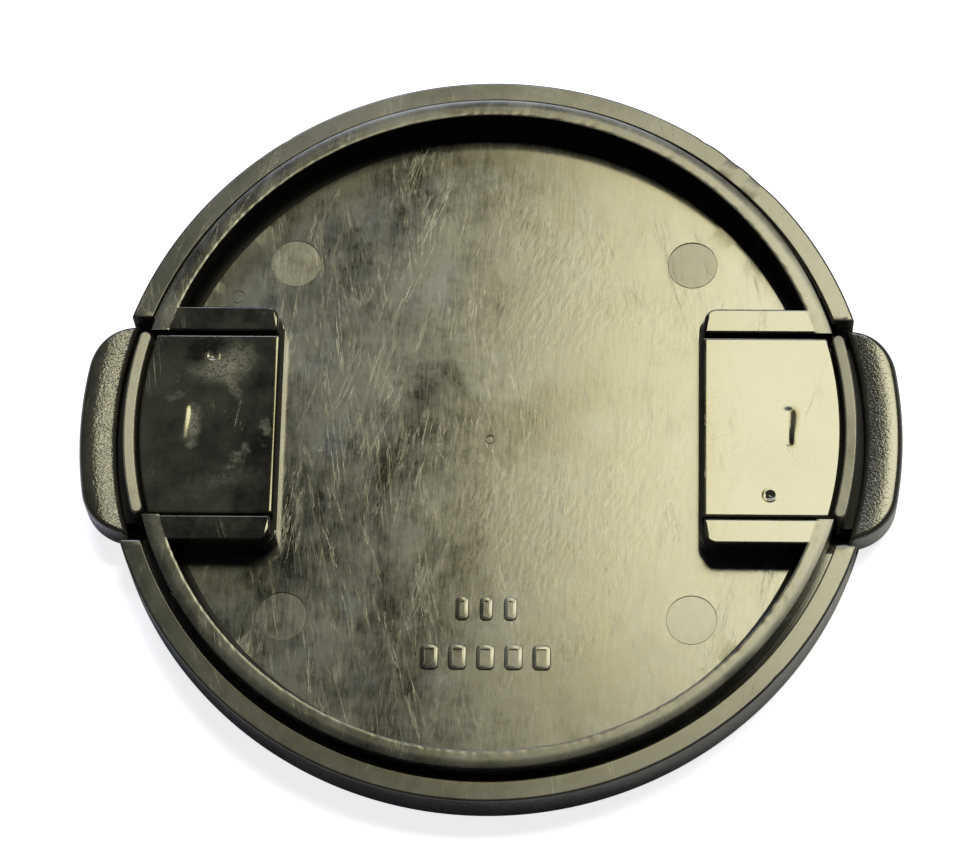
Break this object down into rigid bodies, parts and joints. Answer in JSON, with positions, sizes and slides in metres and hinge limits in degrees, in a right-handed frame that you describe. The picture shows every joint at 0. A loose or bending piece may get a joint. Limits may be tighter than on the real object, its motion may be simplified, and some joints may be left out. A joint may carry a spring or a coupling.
{
  "type": "pinch lens cap",
  "caption": "Round clip-in lens cap of black plastic with a spigot ring, a shallow cupped inside and two spring-returned pinch tabs that grip the lens thread.",
  "frame": {"origin": "centre of the front face, on the surface that the cap lies on", "axes": "+Z towards the lens, X along the slide of the two tabs, Y across them"},
  "size_m": [0.0654, 0.061, 0.006],
  "materials": {
    "shell_plastic": "worn satin black",
    "body_plastic": "polished black with fine scratches and smudges",
    "tab_plastic": "glossy black slider plate, pebbled grip",
    "spring_steel": "bright drawn wire"
  },
  "bodies": {
    "cap_body": {"front_shell": "shell_plastic", "back_body": "body_plastic", "left_tab_upper_spring": "spring_steel", "left_tab_lower_spring": "spring_steel", "right_tab_upper_spring": "spring_steel", "right_tab_lower_spring": "spring_steel"},
    "left_tab": {"left_tab": "tab_plastic"},
    "right_tab": {"right_tab": "tab_plastic"}
  },
  "joints": [
    {"name": "left_tab_slide", "type": "slide", "parent": "cap_body", "child": "left_tab", "axis": [1, 0, 0], "range_m": [0, 0.0014], "stiffness_N_per_m": 1200, "springref_m": -0.002, "deforming": ["left_tab_upper_spring", "left_tab_lower_spring"]},
    {"name": "right_tab_slide", "type": "slide", "parent": "cap_body", "child": "right_tab", "axis": [-1, 0, 0], "range_m": [0, 0.0014], "stiffness_N_per_m": 1200, "springref_m": -0.002, "deforming": ["right_tab_upper_spring", "right_tab_lower_spring"]}
  ]
}
